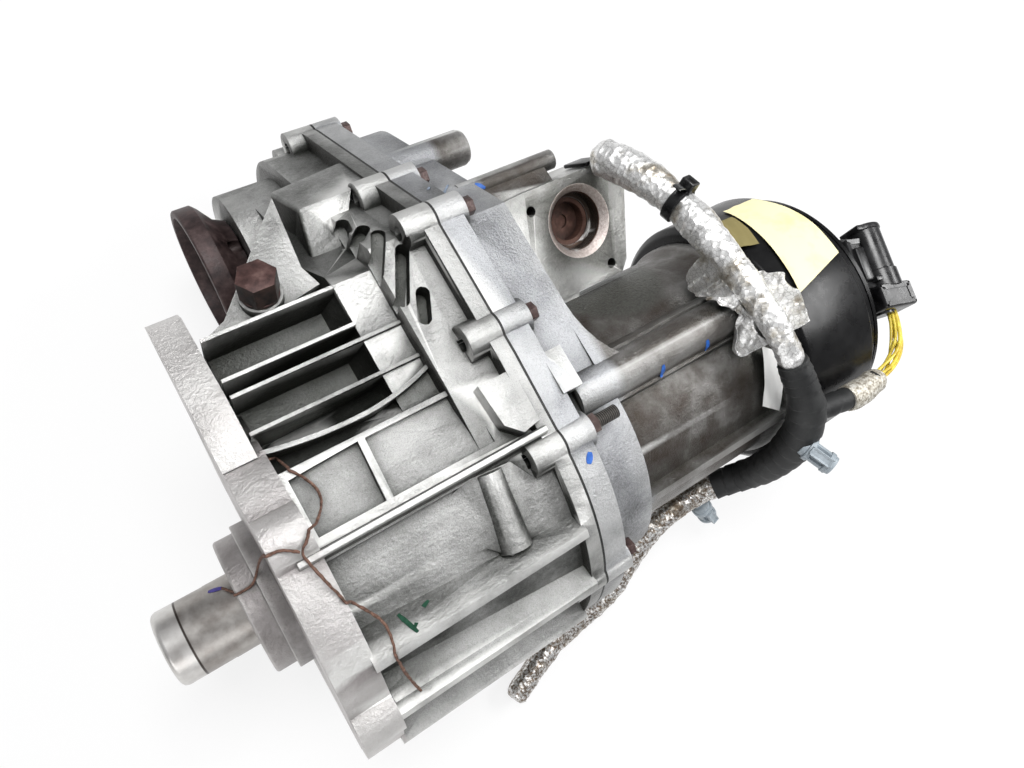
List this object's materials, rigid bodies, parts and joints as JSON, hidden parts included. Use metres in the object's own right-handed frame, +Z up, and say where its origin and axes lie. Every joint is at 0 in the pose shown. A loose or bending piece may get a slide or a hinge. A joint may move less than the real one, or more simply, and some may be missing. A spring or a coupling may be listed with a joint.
{
  "type": "transfer case",
  "caption": "Dual-range transfer case: planetary range gears, chain drive to an offset front flange, clutch pack, black actuator housing, rear flange and wiring harness.",
  "frame": {"origin": "on the input axis, in the front face of the gearbox flange", "axes": "+X rearwards along the shafts, +Y towards the front output, +Z up"},
  "size_m": [0.538, 0.4514, 0.242],
  "materials": {
    "cast_aluminium": "sand-cast, dull and oily",
    "rusty_iron": "rusty",
    "black_paint": "black paint, satin",
    "black_plastic": "matt",
    "grey_plastic": "matt",
    "foil": "crinkled foil",
    "cloth_tape": "wound cloth tape",
    "yellow_sleeve": "soft sleeve",
    "seal_rubber": "matt",
    "gasket_fibre": "matt",
    "friction_lining": "matt lining",
    "copper_coil": "potted winding",
    "cast_steel": "turned, slightly rusty",
    "machined_steel": "turned"
  },
  "bodies": {
    "case": {"bore_cup": "rusty_iron", "case_bolts": "rusty_iron", "case_gasket": "gasket_fibre", "chain": "machined_steel", "clutch_coil": "copper_coil", "clutch_housing": "black_paint", "clutch_housing_cover": "black_paint", "drain_plug": "rusty_iron", "fill_plug": "rusty_iron", "fixed_ramp": "machined_steel", "front_case": "cast_aluminium", "front_output_bearing": "machined_steel", "front_output_seal": "seal_rubber", "front_retainer": "cast_steel", "harness_bracket": "rusty_iron", "harness_lower": "foil", "harness_stub": "cloth_tape", "harness_taped": "cloth_tape", "harness_tie": "black_plastic", "harness_upper": "foil", "heat_foil": "foil", "input_bearing": "machined_steel", "input_seal": "seal_rubber", "loose_connector_lower": "grey_plastic", "loose_connector_upper": "black_plastic", "motor_connector": "black_plastic", "motor_lead": "yellow_sleeve", "pump_housing": "cast_aluminium", "ramp_ring": "machined_steel", "rear_bearing": "machined_steel", "rear_case": "cast_aluminium", "rear_output_bearing": "machined_steel", "rear_seal": "seal_rubber", "ring_gear": "machined_steel", "split_stud": "rusty_iron", "split_stud_nut": "rusty_iron"},
    "input": {"input_shaft": "machined_steel"},
    "carrier": {"planet_carrier": "machined_steel", "planet_pins": "machined_steel"},
    "planet_1": {"planet_gear_1": "machined_steel"},
    "planet_2": {"planet_gear_2": "machined_steel"},
    "planet_3": {"planet_gear_3": "machined_steel"},
    "main": {"main_shaft": "machined_steel", "clutch_hub": "machined_steel", "friction_plates": "friction_lining", "pump_rotor": "machined_steel", "rear_output_flange": "cast_steel", "rear_output_nut": "machined_steel"},
    "sleeve": {"range_sleeve": "machined_steel"},
    "chain_drive": {"drive_sprocket": "machined_steel", "clutch_drum": "machined_steel", "steel_plates": "machined_steel", "pressure_plate": "machined_steel"},
    "front_output": {"front_output_shaft": "machined_steel", "front_output_flange": "rusty_iron", "front_output_nut": "rusty_iron"},
    "range_shift": {"shift_rail": "machined_steel", "shift_fork": "machined_steel"}
  },
  "joints": [
    {"name": "main_spin", "type": "hinge", "parent": "case", "child": "main", "pos_m": [0.3, 0, 0], "axis": [1, 0, 0], "continuous": true},
    {"name": "input_spin", "type": "hinge", "parent": "case", "child": "input", "pos_m": [0, 0, 0], "axis": [1, 0, 0], "continuous": true},
    {"name": "carrier_spin", "type": "hinge", "parent": "case", "child": "carrier", "pos_m": [0.043, 0, 0], "axis": [1, 0, 0], "continuous": true},
    {"name": "planet_1_spin", "type": "hinge", "parent": "carrier", "child": "planet_1", "pos_m": [0.043, 0.05625, 0], "axis": [1, 0, 0], "continuous": true},
    {"name": "planet_2_spin", "type": "hinge", "parent": "carrier", "child": "planet_2", "pos_m": [0.043, -0.02813, 0.04871], "axis": [1, 0, 0], "continuous": true},
    {"name": "planet_3_spin", "type": "hinge", "parent": "carrier", "child": "planet_3", "pos_m": [0.043, -0.02813, -0.04871], "axis": [1, 0, 0], "continuous": true},
    {"name": "chain_drive_spin", "type": "hinge", "parent": "case", "child": "chain_drive", "pos_m": [0.16, 0, 0], "axis": [1, 0, 0], "continuous": true},
    {"name": "front_output_spin", "type": "hinge", "parent": "case", "child": "front_output", "pos_m": [0.12, 0.21177, -0.04202], "axis": [1, 0, 0], "continuous": true},
    {"name": "range_shift_slide", "type": "slide", "parent": "case", "child": "range_shift", "axis": [1, 0, 0], "range_m": [0, 0.014]},
    {"name": "sleeve_slide", "type": "slide", "parent": "main", "child": "sleeve", "axis": [1, 0, 0], "range_m": [0, 0.014]}
  ],
  "couplings": [
    {"joint": "input_spin", "follows": "main_spin", "ratio": 1},
    {"joint": "carrier_spin", "follows": "main_spin", "ratio": 0.36667},
    {"joint": "chain_drive_spin", "follows": "main_spin", "ratio": 1},
    {"joint": "front_output_spin", "follows": "main_spin", "ratio": 1},
    {"joint": "sleeve_slide", "follows": "range_shift_slide", "ratio": 1},
    {"joint": "planet_1_spin", "follows": "main_spin", "ratio": -1.7417},
    {"joint": "planet_2_spin", "follows": "main_spin", "ratio": -1.7417},
    {"joint": "planet_3_spin", "follows": "main_spin", "ratio": -1.7417}
  ]
}
